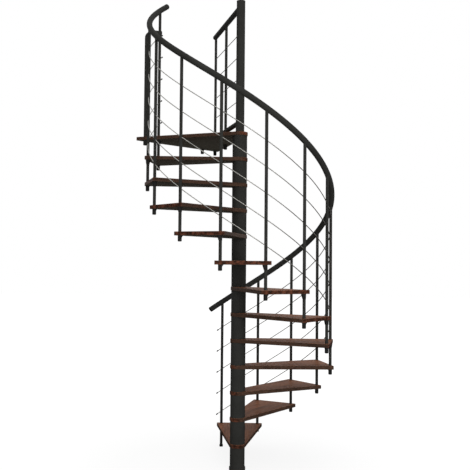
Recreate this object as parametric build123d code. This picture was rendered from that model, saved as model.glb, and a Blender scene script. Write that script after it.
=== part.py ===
"""Spiral staircase kit: wooden treads threaded on a steel pole, with a helical handrail and wire infill.

Millimetres and degrees, +Z up. The origin is on the floor, at the middle of the base flange.
The first tread points along +Y, and the stair climbs clockwise seen from above.
"""
import math
import os

from build123d import *

# Layout of the climb
rise = 218.0
tread_count = 12
step_angle = 25.2
first_tread_angle = 90.0
rail_radius = 775.0

# Clearances
slip_clearance = 0.3
cope_clearance = 0.5

# Column: a steel pole, with tubular spacers between the tread hubs
pole_diameter = 73.0
pole_wall = 4.0
pole_over_guard = 46.0
cap_thickness = 6.0
cap_overhang = 1.0
spacer_diameter = 124.0
spacer_wall = 3.0
spacer_end_thickness = 5.0
base_diameter = 136.0
base_height = 28.0
base_floor = 6.0
base_chamfer = 4.0

# Treads: keystone boards with a round hub
tread_thickness = 30.0
hub_diameter = 134.0
tread_side_margin = 43.0
tread_edge_margin = 20.0
tread_corner_radius = 12.0
tread_edge_round = 3.0

# Balusters, with tapered collars where they pass through a board and cups where they end under one
baluster_diameter = 25.0
collar_top_diameter = 40.0
collar_bottom_diameter = 28.6
collar_height = 38.0
collar_shift = 6.0
cup_diameter = 31.0
cup_height = 46.0
cup_flare_height = 20.0
cup_floor = 4.0
cup_round = 6.0
foot_diameter = 33.0
foot_height = 20.0
foot_floor = 4.0
foot_round = 3.0

# Handrail and the five wires under it
handrail_diameter = 48.0
handrail_height = 1358.0
handrail_tail_angle = 8.4
rail_cap_thickness = 9.0
rail_cap_round = 7.0
wire_count = 5
wire_diameter = 7.0
wire_first_drop = 240.0
wire_spacing = 197.0
wire_tail_angle = 3.5
wire_clearance = 0.4

# Landing: a three-cornered board from the hub to the floor edge, with a stud under that edge
landing_left_margin = 71.0
landing_right_margin = 52.0
landing_right_turn = 2.2
stud_edge_share = 0.78
stud_inset = 21.0
stud_seat_depth = 18.0

# Corner baluster beside the last stair baluster, bent over into a short rail
corner_outset = 97.0
corner_turn = 4.8
corner_bar_diameter = 30.0
corner_bend_radius = 52.0
corner_seat_depth = 16.0
corner_rail_start = 60.0
corner_rail_diameter = 46.0
corner_rail_clearance = 12.0
corner_far_tail = 17.0
corner_end_round = 3.0

# Straight guard on the landing's right edge
guard_turn = 57.6
guard_first_reach = 475.0
guard_spacing = 388.0
guard_count = 2
guard_height = 1080.0
guard_rail_diameter = 46.0
guard_tail = 34.0
guard_end_round = 6.0
guard_bar_diameter = 42.0
guard_bar_height = 90.0
guard_wire_first_drop = 221.0
guard_wire_last_rise = 193.0
guard_wire_count = 4
guard_wire_tail = 30.0

# Worked out from the sizes above
helix_pitch = rise * 360 / step_angle
landing_top = rise * (tread_count + 1)
half_step = step_angle / 2
baluster_radius = baluster_diameter / 2
handrail_radius = handrail_diameter / 2
pole_radius = pole_diameter / 2
pole_top = landing_top + guard_height + pole_over_guard
corner_rail_radius = corner_rail_diameter / 2
corner_bar_radius = corner_bar_diameter / 2
bore_radius = pole_radius + slip_clearance
hole_radius = baluster_radius + slip_clearance
landing_underside = landing_top - tread_thickness
cup_depth = cup_height - cup_floor
cup_wall = cup_diameter / 2 - hole_radius
stub_bottom = landing_underside - cup_depth
UPWARD = (Align.CENTER, Align.CENTER, Align.MIN)


def tread_angle(number):
    """Direction of a tread's middle line; the landing counts as the next number after the last tread."""
    return first_tread_angle - (number - 1) * step_angle


def baluster_angle(number):
    """Baluster 0 stands on the floor; baluster k ends under tread k."""
    return first_tread_angle + half_step - number * step_angle


def around(angle, radius, height=0):
    """Point at this direction and distance from the pole."""
    turn = math.radians(angle)
    return Vector(radius * math.cos(turn), radius * math.sin(turn), height)


def rod(start, end, radius):
    """Round bar from one point to another."""
    run = end - start
    section = Plane(origin=start, z_dir=run) * Circle(radius)
    return extrude(section, amount=run.length)


def round_ends(bar, radius):
    return fillet(bar.faces().filter_by(GeomType.PLANE).edges(), radius)


def standing_rod(spot, bottom, top, radius):
    return Pos(spot.X, spot.Y, bottom) * Cylinder(radius, top - bottom, align=UPWARD)


def climb_height(angle):
    """Height of the handrail's middle line where it passes this direction."""
    return handrail_height + (baluster_angle(0) - angle) / step_angle * rise


def climbing_helix(drop, tail_angle):
    """Helix parallel to the steps, this far under the handrail's line, from the first baluster to the last."""
    start_angle = baluster_angle(0) + tail_angle
    turned = start_angle - baluster_angle(tread_count) + tail_angle
    line = Helix(helix_pitch, helix_pitch * turned / 360, rail_radius, lefthand=True)
    return Pos(0, 0, climb_height(start_angle) - drop) * Rot(0, 0, start_angle) * line


def swept_round(path, radius):
    section = Plane(origin=path @ 0, z_dir=path % 0) * Circle(radius)
    return sweep(section, path=path, is_frenet=True)


def climb_direction(angle):
    """Unit vector along the helix where it passes this direction."""
    run = rail_radius * math.radians(step_angle)
    level = around(angle - 90, 1)
    return Vector(level.X * run, level.Y * run, rise).normalized()


def crossing_rod(center, direction, reach, radius):
    return rod(center - direction * reach, center + direction * reach, radius)


def make_base():
    outer = Cylinder(base_diameter / 2, base_height, align=UPWARD)
    outer = chamfer(outer.edges().group_by(Axis.Z)[-1], base_chamfer)
    socket = Pos(0, 0, base_floor) * Cylinder(bore_radius, base_height, align=UPWARD)
    return outer - socket


def make_pole():
    length = pole_top - base_floor
    tube = Cylinder(pole_radius, length, align=UPWARD)
    tube -= Cylinder(pole_radius - pole_wall, length, align=UPWARD)
    return Pos(0, 0, base_floor) * tube


def make_cap():
    disc = Cylinder(pole_radius + cap_overhang, cap_thickness, align=UPWARD)
    disc = fillet(disc.edges().group_by(Axis.Z)[-1], cap_thickness / 2)
    return Pos(0, 0, pole_top) * disc


def make_spacer(bottom, top):
    """Drum with two end plates that fit round the pole."""
    height = top - bottom
    drum = Cylinder(spacer_diameter / 2, height, align=UPWARD)
    inside_height = height - 2 * spacer_end_thickness
    inside = Cylinder(spacer_diameter / 2 - spacer_wall, inside_height, align=UPWARD)
    drum -= Pos(0, 0, spacer_end_thickness) * inside
    drum -= Cylinder(bore_radius, height, align=UPWARD)
    return Pos(0, 0, bottom) * drum


def make_spacers():
    spacers = [make_spacer(base_height, rise - tread_thickness)]
    for number in range(1, tread_count + 1):
        spacers.append(make_spacer(number * rise, (number + 1) * rise - tread_thickness))
    return spacers


def board(corner_spots, holes, top):
    """Board whose sides run tangent from the round hub to round corners."""
    outline = Circle(hub_diameter / 2)
    for spot in corner_spots:
        outline += Pos(spot.X, spot.Y) * Circle(tread_corner_radius)
    slab = extrude(make_hull(outline.edges()), amount=tread_thickness)
    rims = slab.edges().group_by(Axis.Z)
    slab = fillet(rims[0] + rims[-1], tread_edge_round)
    slab -= Cylinder(bore_radius, tread_thickness, align=UPWARD)
    for spot in holes:
        slab -= Pos(spot.X, spot.Y) * Cylinder(hole_radius, tread_thickness, align=UPWARD)
    return Pos(0, 0, top - tread_thickness) * slab


def make_tread(number):
    middle = tread_angle(number)
    edge = rail_radius * math.cos(math.radians(half_step)) + tread_edge_margin
    inset = edge - tread_corner_radius
    side = rail_radius * math.sin(math.radians(half_step)) + tread_side_margin - tread_corner_radius
    corners = [around(0, inset) + around(90, side), around(0, inset) - around(90, side)]
    corners = [corner.rotate(Axis.Z, middle) for corner in corners]
    holes = [around(baluster_angle(k), rail_radius) for k in (number - 1, number)]
    return board(corners, holes, number * rise)


def last_spot():
    return around(baluster_angle(tread_count), rail_radius)


def corner_angle():
    return baluster_angle(tread_count) + corner_turn


def corner_spot():
    return around(corner_angle(), rail_radius + corner_outset)


def guard_angle():
    return corner_angle() - guard_turn


def guard_reach(number):
    return guard_first_reach + guard_spacing * number


def guard_spots():
    return [around(guard_angle(), guard_reach(number)) for number in range(guard_count)]


def landing_corners():
    left = around(corner_angle(), rail_radius + corner_outset + landing_left_margin)
    right = around(guard_angle() - landing_right_turn, guard_reach(guard_count - 1) + landing_right_margin)
    return left, right


def stud_spot():
    """Under the floor-side edge of the landing, set in from the line between its corners."""
    left, right = landing_corners()
    outward = (left - right).cross(Vector(0, 0, 1)).normalized()
    return left + (right - left) * stud_edge_share - outward * stud_inset


def make_landing():
    slab = board(landing_corners(), [last_spot(), *guard_spots()], landing_top)
    slab -= standing_rod(corner_spot(), landing_underside, landing_top, corner_bar_radius + slip_clearance)
    seat_top = landing_underside + stud_seat_depth + slip_clearance
    return slab - standing_rod(stud_spot(), landing_underside, seat_top, hole_radius)


def flare_under(spot, underside, inward, height, bottom_diameter):
    """Taper under a board, wider at the board and leaning towards the board's middle there."""
    top = Vector(spot.X, spot.Y) + inward * collar_shift
    wide = Pos(top.X, top.Y, underside) * Circle(collar_top_diameter / 2)
    narrow = Pos(spot.X, spot.Y, underside - height) * Circle(bottom_diameter / 2)
    return loft([narrow, wide])


def make_collar(spot, underside, inward):
    """Tapered ring round a baluster that passes through the board."""
    taper = flare_under(spot, underside, inward, collar_height, collar_bottom_diameter)
    return taper - standing_rod(spot, underside - collar_height, underside, hole_radius)


def make_stub(spot, underside, inward):
    """Round-bottomed peg with a short flare against the board."""
    peg = standing_rod(spot, underside - cup_height, underside, cup_diameter / 2)
    peg = fillet(peg.edges().group_by(Axis.Z)[0], cup_round)
    return peg + flare_under(spot, underside, inward, cup_flare_height, baluster_diameter)


def make_cup(spot, underside, inward):
    """Socket for a baluster that ends under the board."""
    return make_stub(spot, underside, inward) - standing_rod(spot, underside - cup_depth, underside, hole_radius)


def make_corner_cup():
    """Socket for the thicker corner baluster."""
    spot = corner_spot()
    peg = standing_rod(spot, landing_underside - cup_height, landing_underside, corner_bar_radius + cup_wall)
    peg = fillet(peg.edges().group_by(Axis.Z)[0], cup_round)
    return peg - standing_rod(spot, stub_bottom, landing_underside, corner_bar_radius + slip_clearance)


def make_tread_collars():
    collars = []
    for number in range(1, tread_count + 1):
        underside = number * rise - tread_thickness
        edge_middle = around(tread_angle(number), rail_radius * math.cos(math.radians(half_step)))
        passing = around(baluster_angle(number - 1), rail_radius)
        ending = around(baluster_angle(number), rail_radius)
        collars.append(make_collar(passing, underside, (edge_middle - passing).normalized()))
        collars.append(make_cup(ending, underside, (edge_middle - ending).normalized()))
    return collars


def to_landing_middle(spot):
    left, right = landing_corners()
    return ((left + right) / 3 - spot).normalized()


def make_landing_collars():
    collars = [make_collar(last_spot(), landing_underside, to_landing_middle(last_spot())), make_corner_cup()]
    for spot in guard_spots():
        collars.append(make_cup(spot, landing_underside, to_landing_middle(spot)))
    return collars


def make_baluster(number):
    """Upright with a coped top under the handrail and cross holes for the wires."""
    angle = baluster_angle(number)
    spot = around(angle, rail_radius)
    rail_middle = climb_height(angle)
    direction = climb_direction(angle)
    bottom = foot_floor if number == 0 else number * rise - tread_thickness - cup_depth
    bar = standing_rod(spot, bottom, rail_middle, baluster_radius)
    rail_spot = around(angle, rail_radius, rail_middle)
    bar -= crossing_rod(rail_spot, direction, handrail_diameter, handrail_radius + cope_clearance)
    for row in range(wire_count):
        drop = wire_first_drop + row * wire_spacing
        wire_spot = around(angle, rail_radius, rail_middle - drop)
        bar -= crossing_rod(wire_spot, direction, baluster_diameter, wire_diameter / 2 + wire_clearance)
    return bar


def make_foot():
    spot = around(baluster_angle(0), rail_radius)
    cup = Cylinder(foot_diameter / 2, foot_height, align=UPWARD)
    cup = fillet(cup.edges().group_by(Axis.Z)[-1], foot_round)
    cup -= Pos(0, 0, foot_floor) * Cylinder(hole_radius, foot_height, align=UPWARD)
    return Pos(spot.X, spot.Y) * cup


def make_landing_stud():
    """Peg with no baluster, seated in the landing by its pin."""
    spot = stud_spot()
    pin = standing_rod(spot, stub_bottom, landing_underside + stud_seat_depth, baluster_radius)
    return make_stub(spot, landing_underside, to_landing_middle(spot)) + pin


def make_handrail():
    return swept_round(climbing_helix(0, handrail_tail_angle), handrail_radius)


def make_rail_cap(end, outward):
    disc = Cylinder(handrail_radius, rail_cap_thickness, align=UPWARD)
    disc = fillet(disc.edges().group_by(Axis.Z)[-1], rail_cap_round)
    return Plane(origin=end, z_dir=outward) * disc


def make_rail_caps():
    """Low domed plugs on the handrail's two ends."""
    path = climbing_helix(0, handrail_tail_angle)
    return [make_rail_cap(path @ 0, -(path % 0)), make_rail_cap(path @ 1, path % 1)]


def make_wire(row):
    drop = wire_first_drop + row * wire_spacing
    return swept_round(climbing_helix(drop, wire_tail_angle), wire_diameter / 2)


def guard_line(height, tail):
    """Ends of a level bar from the pole's middle to just past the outermost guard baluster."""
    reach = guard_reach(guard_count - 1) + tail
    return Vector(0, 0, landing_top + height), around(guard_angle(), reach, landing_top + height)


def pole_cope():
    return standing_rod(Vector(0, 0, 0), landing_top, pole_top, bore_radius)


def make_guard_rail():
    bar = rod(*guard_line(guard_height, guard_tail), guard_rail_diameter / 2)
    return round_ends(bar, guard_end_round) - pole_cope()


def make_guard_bar():
    bar = rod(*guard_line(guard_bar_height, guard_tail), guard_bar_diameter / 2)
    bar = round_ends(bar, guard_end_round) - pole_cope()
    for spot in guard_spots():
        bar -= standing_rod(spot, landing_top, landing_top + guard_height, hole_radius)
    return bar


def guard_wire_heights():
    """Heights over the landing, spread evenly between the guard's two rails."""
    first = guard_height - guard_wire_first_drop
    last = guard_bar_height + guard_wire_last_rise
    spacing = (first - last) / (guard_wire_count - 1)
    return [first - row * spacing for row in range(guard_wire_count)]


def make_guard_balusters():
    direction = around(guard_angle(), 1)
    cope_radius = guard_rail_diameter / 2 + slip_clearance
    bars = []
    for spot in guard_spots():
        rail_spot = Vector(spot.X, spot.Y, landing_top + guard_height)
        bar = standing_rod(spot, stub_bottom, rail_spot.Z, baluster_radius)
        bar -= crossing_rod(rail_spot, direction, guard_rail_diameter, cope_radius)
        for height in guard_wire_heights():
            wire_spot = Vector(spot.X, spot.Y, landing_top + height)
            bar -= crossing_rod(wire_spot, direction, baluster_diameter, wire_diameter / 2 + wire_clearance)
        bars.append(bar)
    return bars


def make_guard_wires():
    return [rod(*guard_line(height, guard_wire_tail), wire_diameter / 2) - pole_cope()
            for height in guard_wire_heights()]


def corner_rail_level():
    """Height of the short rail's middle line, just over the top wire where that passes the last baluster."""
    wire_level = climb_height(baluster_angle(tread_count)) - wire_first_drop
    return wire_level + corner_rail_clearance + corner_rail_radius


def corner_direction():
    return (last_spot() - corner_spot()).normalized()


def make_corner_rail():
    """Short level rail from the bent corner baluster to the last stair baluster, which it fits round."""
    level = Vector(0, 0, corner_rail_level())
    near = corner_spot() + corner_direction() * corner_rail_start + level
    far = last_spot() + corner_direction() * corner_far_tail + level
    bar = round_ends(rod(near, far, corner_rail_radius), corner_end_round)
    bar -= rod(near, near + corner_direction() * corner_seat_depth, corner_bar_radius + slip_clearance)
    return bar - standing_rod(last_spot(), landing_top, level.Z + corner_rail_diameter, hole_radius)


def make_corner_baluster():
    """Upright from under the landing, bent over into the short rail's end."""
    spot = corner_spot()
    foot = Vector(spot.X, spot.Y, stub_bottom)
    bend = Vector(spot.X, spot.Y, corner_rail_level())
    tip = bend + corner_direction() * (corner_rail_start + corner_seat_depth)
    path = FilletPolyline(foot, bend, tip, radius=corner_bend_radius)
    return swept_round(path, corner_bar_radius)


def save(name, pieces):
    shape = Compound(children=list(pieces)) if isinstance(pieces, list) else pieces
    export_step(shape, f"parts/{name}.step")


os.makedirs("parts", exist_ok=True)
save("base_flange", make_base())
save("central_pole", make_pole())
save("pole_cap", make_cap())
save("column_spacers", make_spacers())
for tread_number in range(1, tread_count + 1):
    save(f"tread_{tread_number:02d}", make_tread(tread_number))
save("landing", make_landing())
save("landing_stud", make_landing_stud())
for baluster_number in range(tread_count + 1):
    save(f"baluster_{baluster_number:02d}", make_baluster(baluster_number))
save("baluster_foot", make_foot())
save("tread_collars", make_tread_collars())
save("landing_collars", make_landing_collars())
save("handrail", make_handrail())
save("handrail_caps", make_rail_caps())
for wire_row in range(wire_count):
    save(f"infill_wire_{wire_row + 1}", make_wire(wire_row))
save("guard_rail", make_guard_rail())
save("guard_lower_rail", make_guard_bar())
save("guard_balusters", make_guard_balusters())
save("guard_wires", make_guard_wires())
save("corner_rail", make_corner_rail())
save("corner_baluster", make_corner_baluster())
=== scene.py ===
"""Looks of the spiral staircase: finishes, small fittings, studio light and camera.

Metres, +Z up, in the frame's own axes: the first tread points along +Y, and the stair climbs
clockwise seen from above.
"""
import math

import bmesh
import bpy
from mathutils import Matrix, Vector


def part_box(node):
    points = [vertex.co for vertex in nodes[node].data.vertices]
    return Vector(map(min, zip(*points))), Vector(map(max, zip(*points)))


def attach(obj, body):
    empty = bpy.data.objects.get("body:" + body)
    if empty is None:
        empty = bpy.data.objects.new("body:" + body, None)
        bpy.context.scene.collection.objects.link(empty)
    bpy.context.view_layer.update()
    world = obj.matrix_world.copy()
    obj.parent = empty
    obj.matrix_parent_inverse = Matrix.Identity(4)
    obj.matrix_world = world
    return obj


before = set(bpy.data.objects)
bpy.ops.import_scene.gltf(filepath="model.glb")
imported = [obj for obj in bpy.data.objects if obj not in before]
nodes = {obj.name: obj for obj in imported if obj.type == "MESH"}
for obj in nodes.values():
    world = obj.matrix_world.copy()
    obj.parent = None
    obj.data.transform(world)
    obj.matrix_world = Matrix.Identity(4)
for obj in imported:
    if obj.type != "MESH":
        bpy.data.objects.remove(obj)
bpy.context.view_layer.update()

MM = 0.001
UP = Vector((0, 0, 1))
TREADS = sorted(name for name in nodes if name.startswith("tread_") and name != "tread_collars")
WIRES = sorted(name for name in nodes if name.startswith("infill_wire_"))

# Camera, fitted to the photograph's 470 by 470 frame; distances in metres, angles in degrees,
# and the picture's drop in pixels, found by laying the render over the photograph
IMAGE_SIZE = 470
FOCAL_PIXELS = 722.60
PICTURE_DROP = 0.6
SENSOR_WIDTH = 36.0
CAMERA_DISTANCE = 6.1077
CAMERA_HEIGHT = 1.7356
CAMERA_AZIMUTH = -1.295
CAMERA_YAW = -0.3227
CAMERA_PITCH = 2.0768
CAMERA_ROLL = 0.4983

# Railing, as in the CAD
RISE = 0.218
STEP_ANGLE = 25.2
RAIL_RADIUS = 0.775
FIRST_ANGLE = 102.6
STAIR_BALUSTERS = 13
WIRE_HEIGHT = 1.118
WIRE_SPACING = 0.197
WIRE_TAIL_ANGLE = 3.5
GUARD_ANGLE = 107.4
GUARD_WIRE_REACH = 0.893
GUARD_WIRE_LEVELS = (3.693, 3.501, 3.309, 3.117)

# Stops on the wires' ends: places along the wire from its end and radii there, in millimetres
CAP_PROFILE = [(-13, 3.6), (-13, 5.2), (-12, 6.0), (-4, 6.0), (-3, 5.2), (-2, 5.2), (-1, 6.0),
               (2, 5.6), (4, 4.2), (5, 2.0)]
CAP_SIDES = 20

# Studio
FLOOR_SIZE = 60.0
FLOOR_NEAR = 1.0
FLOOR_FAR = 4.5
FLOOR_LIFT = 0.86
OVERHEAD_PLACE = (0.0, -4.0, 14.0)
OVERHEAD_AIM = (0, 0, 1.5)
OVERHEAD_SIZE = 10.0
OVERHEAD_POWER = 580
FRONT_PLACE = (2.5, -8.0, 2.4)
FRONT_AIM = (0, 0, 2.0)
FRONT_SIZE = 6.0
FRONT_POWER = 480
SKY_STRENGTH = 0.52
GROUND_STRENGTH = 0.50


def linear(code):
    """An sRGB hex colour as linear RGBA."""
    channels = [int(code[i:i + 2], 16) / 255 for i in (1, 3, 5)]
    return tuple(c / 12.92 if c <= 0.04045 else ((c + 0.055) / 1.055) ** 2.4 for c in channels) + (1.0,)


def add(tree, kind, inputs=None, **settings):
    """Adds a node with its settings; inputs gives each socket a value or another node's output."""
    node = tree.nodes.new("ShaderNode" + kind)
    for name, value in settings.items():
        setattr(node, name, value)
    for socket, value in (inputs or {}).items():
        if isinstance(value, bpy.types.NodeSocket):
            tree.links.new(value, node.inputs[socket])
        else:
            node.inputs[socket].default_value = value
    return node


def ramp(node, *stops):
    """Sets a colour ramp's stops, each a place and an sRGB hex colour."""
    elements = node.color_ramp.elements
    while len(elements) < len(stops):
        elements.new(0.5)
    for element, (place, code) in zip(elements, stops):
        element.position = place
        element.color = linear(code)
    return node


def new_material(name):
    material = bpy.data.materials.new(name)
    material.use_nodes = True
    tree = material.node_tree
    tree.nodes.clear()
    return material, tree


def finish_material(tree, **inputs):
    surface = add(tree, "BsdfPrincipled", inputs)
    output = add(tree, "OutputMaterial")
    tree.links.new(surface.outputs["BSDF"], output.inputs["Surface"])
    return surface


def powder_coated_steel():
    """Polyester powder coat, sprayed and baked: charcoal, almost matt, with a fine orange-peel ripple."""
    material, tree = new_material("powder_coated_steel")
    place = add(tree, "TexCoord").outputs["Object"]
    drift = add(tree, "TexNoise", {"Vector": place, "Scale": 1 / (180 * MM), "Detail": 3.0})
    colour = ramp(add(tree, "ValToRGB", {"Fac": drift.outputs["Fac"]}), (0.3, "#2B2B29"), (0.7, "#31312F"))
    # The ripple of the real coat is about 2 mm across, drawn at 5 mm so that it shows
    peel = add(tree, "TexNoise", {"Vector": place, "Scale": 1 / (5 * MM), "Detail": 2.0})
    gloss = add(tree, "MapRange", {"Value": peel.outputs["Fac"], "To Min": 0.40, "To Max": 0.56})
    bump = add(tree, "Bump", {"Height": peel.outputs["Fac"], "Strength": 0.25, "Distance": 0.4 * MM})
    finish_material(tree, **{
        "Base Color": colour.outputs["Color"],
        "Roughness": gloss.outputs["Result"],
        "Specular IOR Level": 0.005,
        "Normal": bump.outputs["Normal"],
    })
    return material


def stained_beech(name, heading, shift):
    """Glued beech staves, stained red-brown and lacquered: long grain along the board, low sheen.

    heading is the board's direction in degrees, and shift moves the pattern so that no two boards match.
    """
    material, tree = new_material(name)
    stave_length = 460 * MM
    stave_width = 46 * MM
    place = add(tree, "TexCoord").outputs["Object"]
    along = add(tree, "Mapping", {
        "Vector": place,
        "Rotation": (0, 0, -math.radians(heading)),
        "Location": (shift, 0, 0),
    }, vector_type="POINT").outputs["Vector"]

    staves = add(tree, "TexBrick", {
        "Vector": along, "Color1": (0, 0, 0, 1), "Color2": (1, 1, 1, 1), "Mortar": (0, 0, 0, 1),
        "Scale": 1.0, "Mortar Size": 0.5 * MM, "Mortar Smooth": 0.3, "Bias": 0.0,
        "Brick Width": stave_length, "Row Height": stave_width,
    }, offset=0.42, offset_frequency=2)
    stave_tone = staves.outputs["Color"]

    # Each stave comes from another plank, so its grain starts somewhere else
    moved = add(tree, "VectorMath", {0: stave_tone, 1: (3.7, 2.3, 1.9)}, operation="MULTIPLY")
    own = add(tree, "VectorMath", {0: along, 1: moved.outputs[0]}, operation="ADD").outputs[0]

    # Growth bands about 9 mm wide and 300 mm long
    band_place = add(tree, "VectorMath", {0: own, 1: (1 / (300 * MM), 1 / (9 * MM), 1 / (9 * MM))},
                     operation="MULTIPLY").outputs[0]
    bands = add(tree, "TexNoise", {"Vector": band_place, "Scale": 1.0, "Detail": 4.0, "Roughness": 0.6})
    # Rays and pores, real ones 2 mm by 0.3 mm, drawn at 22 mm by 2.4 mm so that they show
    fleck_place = add(tree, "VectorMath", {0: own, 1: (1 / (22 * MM), 1 / (2.4 * MM), 1 / (2.4 * MM))},
                      operation="MULTIPLY").outputs[0]
    flecks = add(tree, "TexNoise", {"Vector": fleck_place, "Scale": 1.0, "Detail": 1.5})
    fleck_mask = add(tree, "MapRange", {
        "Value": flecks.outputs["Fac"], "From Min": 0.56, "From Max": 0.72,
    })

    grain = ramp(add(tree, "ValToRGB", {"Fac": bands.outputs["Fac"]}),
                 (0.28, "#34231B"), (0.5, "#4C3529"), (0.74, "#664B3B"))
    toned = add(tree, "MixRGB", {
        "Fac": 0.22, "Color1": grain.outputs["Color"], "Color2": stave_tone,
    }, blend_type="SOFT_LIGHT")
    flecked = add(tree, "MixRGB", {
        "Fac": add(tree, "Math", {0: fleck_mask.outputs["Result"], 1: 0.55},
                   operation="MULTIPLY").outputs[0],
        "Color1": toned.outputs["Color"], "Color2": linear("#33190F"),
    })
    jointed = add(tree, "MixRGB", {
        "Fac": add(tree, "Math", {0: staves.outputs["Fac"], 1: 0.45}, operation="MULTIPLY").outputs[0],
        "Color1": flecked.outputs["Color"], "Color2": linear("#2A150D"),
    })

    # The long side faces carry painted shade, darker and greyer than the faces; end grain drinks more
    # stain, so it is redder, with dark spots at open pores
    normal = add(tree, "NewGeometry").outputs["Normal"]
    facing = add(tree, "SeparateXYZ", {"Vector": normal})
    steep = add(tree, "Math", {0: facing.outputs["Z"]}, operation="ABSOLUTE")
    turn = math.radians(heading)
    endwise = add(tree, "VectorMath", {0: normal, 1: (math.cos(turn), math.sin(turn), 0)},
                  operation="DOT_PRODUCT")
    across = add(tree, "Math", {0: endwise.outputs["Value"]}, operation="ABSOLUTE")
    soak = add(tree, "MapRange", {"Value": across.outputs[0], "From Min": 0.5, "From Max": 0.9,
                                  "To Max": 0.9})
    rim = add(tree, "MapRange", {"Value": steep.outputs[0], "From Min": 0.75, "From Max": 0.35})
    spots = add(tree, "TexNoise", {"Vector": place, "Scale": 1 / (26 * MM), "Detail": 3.0})
    soaked = ramp(add(tree, "ValToRGB", {"Fac": spots.outputs["Fac"]}),
                  (0.36, "#22140D"), (0.5, "#42251A"), (0.66, "#5E3728"))
    # Painted shade: the long side faces are mixed almost halfway toward a dark grey-brown
    painted_shade_sides = add(tree, "MixRGB", {
        "Fac": 0.45, "Color1": jointed.outputs["Color"], "Color2": linear("#2A2521"),
    })
    sides = add(tree, "MixRGB", {
        "Fac": soak.outputs["Result"],
        "Color1": painted_shade_sides.outputs["Color"], "Color2": soaked.outputs["Color"],
    })
    edged = add(tree, "MixRGB", {
        "Fac": rim.outputs["Result"],
        "Color1": jointed.outputs["Color"], "Color2": sides.outputs["Color"],
    })

    # Tops are painted lighter, partly foot wear in streaks along the board and partly painted sheen and
    # light from above; the underside is drawn a dark grey-brown
    above = add(tree, "MapRange", {"Value": facing.outputs["Z"], "From Min": 0.5, "From Max": 0.9})
    below = add(tree, "MapRange", {"Value": facing.outputs["Z"], "From Min": -0.55, "From Max": -0.9})
    streak_place = add(tree, "VectorMath", {0: along, 1: (1 / (420 * MM), 1 / (70 * MM), 1 / (70 * MM))},
                       operation="MULTIPLY").outputs[0]
    streaks = add(tree, "TexNoise", {"Vector": streak_place, "Scale": 1.0, "Detail": 3.0})
    # Mask for the lighter tops: its floor of 0.4 is painted sheen and light from above, the streaks are
    # foot wear
    trodden_and_sheen_mask = add(tree, "MapRange", {"Value": streaks.outputs["Fac"], "From Min": 0.35, "From Max": 0.65,
                                     "To Min": 0.4, "To Max": 0.75})
    wear_and_sheen_tone = ramp(add(tree, "ValToRGB", {"Fac": bands.outputs["Fac"]}),
                 (0.28, "#674230"), (0.5, "#926046"), (0.74, "#B47A59"))
    # Painted sheen and light from above on up-facing faces, with foot-wear streaks in it
    wear_and_sheen_top = add(tree, "MixRGB", {
        "Fac": add(tree, "Math", {0: above.outputs["Result"], 1: trodden_and_sheen_mask.outputs["Result"]},
                   operation="MULTIPLY").outputs[0],
        "Color1": edged.outputs["Color"], "Color2": wear_and_sheen_tone.outputs["Color"],
    })
    # Down-facing faces are drawn a dark grey-brown
    grey_underside = add(tree, "MixRGB", {
        "Fac": below.outputs["Result"], "Color1": wear_and_sheen_top.outputs["Color"], "Color2": linear("#48443C"),
    })

    polish = add(tree, "MapRange", {"Value": bands.outputs["Fac"], "To Min": 0.42, "To Max": 0.58})
    gloss = add(tree, "MapRange", {"Value": below.outputs["Result"], "To Min": polish.outputs["Result"],
                                   "To Max": 0.85})
    relief = add(tree, "Math", {0: bands.outputs["Fac"], 1: fleck_mask.outputs["Result"]},
                 operation="SUBTRACT")
    bump = add(tree, "Bump", {"Height": relief.outputs[0], "Strength": 0.3, "Distance": 0.3 * MM})
    finish_material(tree, **{
        "Base Color": grey_underside.outputs["Color"],
        "Roughness": gloss.outputs["Result"],
        "Specular IOR Level": 0.02,
        "Normal": bump.outputs["Normal"],
    })
    return material


def drawn_steel_wire():
    """Stainless steel drawn cold through a die: grey metal with a soft, slightly streaked shine."""
    material, tree = new_material("drawn_steel_wire")
    place = add(tree, "TexCoord").outputs["Object"]
    # Die marks are hair-fine, drawn 25 mm long so that they show
    streaks = add(tree, "TexNoise", {"Vector": place, "Scale": 1 / (25 * MM), "Detail": 2.0})
    colour = ramp(add(tree, "ValToRGB", {"Fac": streaks.outputs["Fac"]}),
                  (0.35, "#8A8984"), (0.65, "#9C9B96"))
    gloss = add(tree, "MapRange", {"Value": streaks.outputs["Fac"], "To Min": 0.34, "To Max": 0.48})
    finish_material(tree, **{
        "Base Color": colour.outputs["Color"],
        "Metallic": 1.0,
        "Roughness": gloss.outputs["Result"],
    })
    return material


def moulded_nylon():
    """Glass-filled black nylon, injection moulded: dull black with a fine sparked grain."""
    material, tree = new_material("moulded_nylon")
    place = add(tree, "TexCoord").outputs["Object"]
    # Spark grain is about 0.3 mm, drawn at 2 mm so that it shows
    grain = add(tree, "TexNoise", {"Vector": place, "Scale": 1 / (2 * MM), "Detail": 2.0})
    colour = ramp(add(tree, "ValToRGB", {"Fac": grain.outputs["Fac"]}), (0.3, "#1C1C1B"), (0.7, "#262625"))
    bump = add(tree, "Bump", {"Height": grain.outputs["Fac"], "Strength": 0.3, "Distance": 0.2 * MM})
    finish_material(tree, **{
        "Base Color": colour.outputs["Color"],
        "Roughness": 0.6,
        "Specular IOR Level": 0.02,
        "Normal": bump.outputs["Normal"],
    })
    return material


def dress(name, material):
    """Gives a node or piece one material all over."""
    slots = nodes[name].data.materials if isinstance(name, str) else name.data.materials
    slots.clear()
    slots.append(material)


def middle(name):
    low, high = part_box(name)
    return (Vector(low) + Vector(high)) / 2


def heading_of(point):
    return math.degrees(math.atan2(point.y, point.x))


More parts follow.
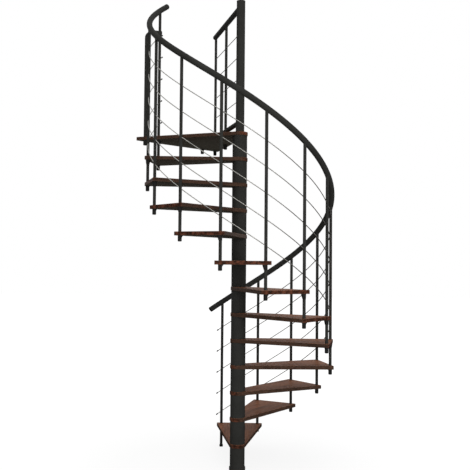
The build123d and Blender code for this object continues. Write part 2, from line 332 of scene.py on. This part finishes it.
def on_helix(angle, height):
    """Point on the railing and the climbing direction there; angle in degrees, height at FIRST_ANGLE."""
    turn = math.radians(angle)
    climb = (FIRST_ANGLE - angle) / STEP_ANGLE * RISE
    point = Vector((RAIL_RADIUS * math.cos(turn), RAIL_RADIUS * math.sin(turn), height + climb))
    run = RAIL_RADIUS * math.radians(STEP_ANGLE)
    return point, Vector((run * math.sin(turn), -run * math.cos(turn), RISE)).normalized()


def wire_ends():
    """End points of all the wires that stand free, each with its outward direction."""
    last_angle = FIRST_ANGLE - (STAIR_BALUSTERS - 1) * STEP_ANGLE
    ends = []
    for row in range(len(WIRES)):
        height = WIRE_HEIGHT - row * WIRE_SPACING
        point, climbing = on_helix(FIRST_ANGLE + WIRE_TAIL_ANGLE, height)
        ends.append((point, -climbing))
        ends.append(on_helix(last_angle - WIRE_TAIL_ANGLE, height))
    turn = math.radians(GUARD_ANGLE)
    outward = Vector((math.cos(turn), math.sin(turn), 0))
    for level in GUARD_WIRE_LEVELS:
        ends.append((outward * GUARD_WIRE_REACH + UP * level, outward))
    return ends


def add_wire_caps(material):
    """Turned stops on the wires' free ends: a collar, a waist and a rounded nose."""
    shape = bmesh.new()
    for point, outward in wire_ends():
        turn = outward.to_track_quat("Z", "Y")
        rings = []
        for along, radius in CAP_PROFILE:
            ring = []
            for side in range(CAP_SIDES):
                angle = math.tau * side / CAP_SIDES
                spot = Vector((radius * math.cos(angle), radius * math.sin(angle), along)) * MM
                ring.append(shape.verts.new(point + turn @ spot))
            rings.append(ring)
        for lower, upper in zip(rings, rings[1:]):
            for side in range(CAP_SIDES):
                after = (side + 1) % CAP_SIDES
                shape.faces.new((lower[side], lower[after], upper[after], upper[side]))
        shape.faces.new(rings[-1])
        shape.faces.new(reversed(rings[0]))
    for face in shape.faces:
        face.smooth = True
    mesh = bpy.data.meshes.new("wire_caps")
    shape.to_mesh(mesh)
    shape.free()
    caps = bpy.data.objects.new("wire_caps", mesh)
    bpy.context.collection.objects.link(caps)
    dress(caps, material)
    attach(caps, "root")


def dress_staircase():
    steel = powder_coated_steel()
    wire = drawn_steel_wire()
    nylon = moulded_nylon()
    boards = TREADS + ["landing"]
    for order, name in enumerate(boards):
        dress(name, stained_beech("stained_beech_" + name, heading_of(middle(name)), 0.37 * order))
    for name in nodes:
        if name in boards:
            continue
        if name in WIRES or name == "guard_wires":
            dress(name, wire)
        elif name in ("baluster_foot", "tread_collars", "landing_collars", "handrail_caps"):
            dress(name, nylon)
        else:
            dress(name, steel)
    add_wire_caps(nylon)


def add_camera():
    data = bpy.data.cameras.new("camera")
    data.sensor_width = SENSOR_WIDTH
    data.lens = SENSOR_WIDTH * FOCAL_PIXELS / IMAGE_SIZE
    data.shift_y = PICTURE_DROP / IMAGE_SIZE
    camera = bpy.data.objects.new("camera", data)
    bpy.context.collection.objects.link(camera)

    stand = math.radians(180 + CAMERA_AZIMUTH)
    look = math.radians(CAMERA_AZIMUTH + CAMERA_YAW)
    pitch = math.radians(CAMERA_PITCH)
    place = Vector((CAMERA_DISTANCE * math.sin(stand), CAMERA_DISTANCE * math.cos(stand), CAMERA_HEIGHT))
    ahead = Vector((math.sin(look) * math.cos(pitch), math.cos(look) * math.cos(pitch), math.sin(pitch)))
    side = Vector((math.cos(look), -math.sin(look), 0))
    above = side.cross(ahead)
    axes = Matrix((side, above, -ahead)).transposed()
    turn = Matrix.Rotation(math.radians(CAMERA_ROLL), 3, "Z")
    camera.matrix_world = Matrix.Translation(place) @ (axes @ turn).to_4x4()
    bpy.context.scene.camera = camera


def add_floor():
    """Floor that looks white, keeps the stair's shadow and lights the undersides a little.

    The wires mirror it as a dark ground, which gives them their shaded lower half.
    """
    material, tree = new_material("white_floor")
    rays = add(tree, "LightPath")
    grey = add(tree, "BsdfDiffuse", {"Color": linear("#707070")})
    away = add(tree, "VectorMath", {0: add(tree, "TexCoord").outputs["Object"]}, operation="LENGTH")
    level = add(tree, "MapRange", {
        "Value": away.outputs["Value"], "From Min": FLOOR_NEAR, "From Max": FLOOR_FAR,
        "To Min": FLOOR_LIFT, "To Max": 1.0,
    })
    lift = add(tree, "Emission", {"Strength": level.outputs["Result"]})
    seen = add(tree, "AddShader", {0: grey.outputs[0], 1: lift.outputs[0]})
    bounce = add(tree, "MixRGB", {
        "Fac": rays.outputs["Is Glossy Ray"],
        "Color1": linear("#C8C8C8"), "Color2": linear("#1E1E1E"),
    })
    dim = add(tree, "BsdfDiffuse", {"Color": bounce.outputs["Color"]})
    mix = add(tree, "MixShader", {0: rays.outputs["Is Camera Ray"], 1: dim.outputs[0], 2: seen.outputs[0]})
    output = add(tree, "OutputMaterial")
    tree.links.new(mix.outputs[0], output.inputs["Surface"])

    mesh = bpy.data.meshes.new("floor")
    half = FLOOR_SIZE / 2
    corners = [(-half, -half, 0), (half, -half, 0), (half, half, 0), (-half, half, 0)]
    mesh.from_pydata(corners, [], [(0, 1, 2, 3)])
    mesh.materials.append(material)
    floor = bpy.data.objects.new("floor", mesh)
    bpy.context.collection.objects.link(floor)


def add_world():
    """White to the eye and in reflections; a soft dome, brighter above, as light."""
    world = bpy.data.worlds.new("studio")
    world.use_nodes = True
    tree = world.node_tree
    tree.nodes.clear()
    height = add(tree, "SeparateXYZ", {"Vector": add(tree, "TexCoord").outputs["Generated"]})
    level = add(tree, "MapRange", {
        "Value": height.outputs["Z"], "From Min": -0.3, "From Max": 0.6,
        "To Min": GROUND_STRENGTH, "To Max": SKY_STRENGTH,
    })
    light = add(tree, "Background", {"Color": (1, 1, 1, 1), "Strength": level.outputs["Result"]})
    white = add(tree, "Background", {"Color": (1, 1, 1, 1), "Strength": 1.0})
    rays = add(tree, "LightPath")
    direct = add(tree, "Math", {0: rays.outputs["Is Camera Ray"], 1: rays.outputs["Is Glossy Ray"]},
                 operation="MAXIMUM")
    shown = add(tree, "Math", {0: direct.outputs[0], 1: rays.outputs["Is Transmission Ray"]},
                operation="MAXIMUM")
    mix = add(tree, "MixShader", {0: shown.outputs[0], 1: light.outputs[0], 2: white.outputs[0]})
    output = add(tree, "OutputWorld")
    tree.links.new(mix.outputs[0], output.inputs["Surface"])
    bpy.context.scene.world = world


def add_softbox(name, place, aim, size, power):
    data = bpy.data.lights.new(name, "AREA")
    data.shape = "SQUARE"
    data.size = size
    data.energy = power
    lamp = bpy.data.objects.new(name, data)
    lamp.location = place
    lamp.rotation_euler = (Vector(aim) - Vector(place)).to_track_quat("-Z", "Y").to_euler()
    bpy.context.collection.objects.link(lamp)


def light_studio():
    add_softbox("overhead_softbox", OVERHEAD_PLACE, OVERHEAD_AIM, OVERHEAD_SIZE, OVERHEAD_POWER)
    add_softbox("front_softbox", FRONT_PLACE, FRONT_AIM, FRONT_SIZE, FRONT_POWER)


bpy.context.scene.view_settings.view_transform = "Standard"
dress_staircase()
add_floor()
add_world()
light_studio()
add_camera()
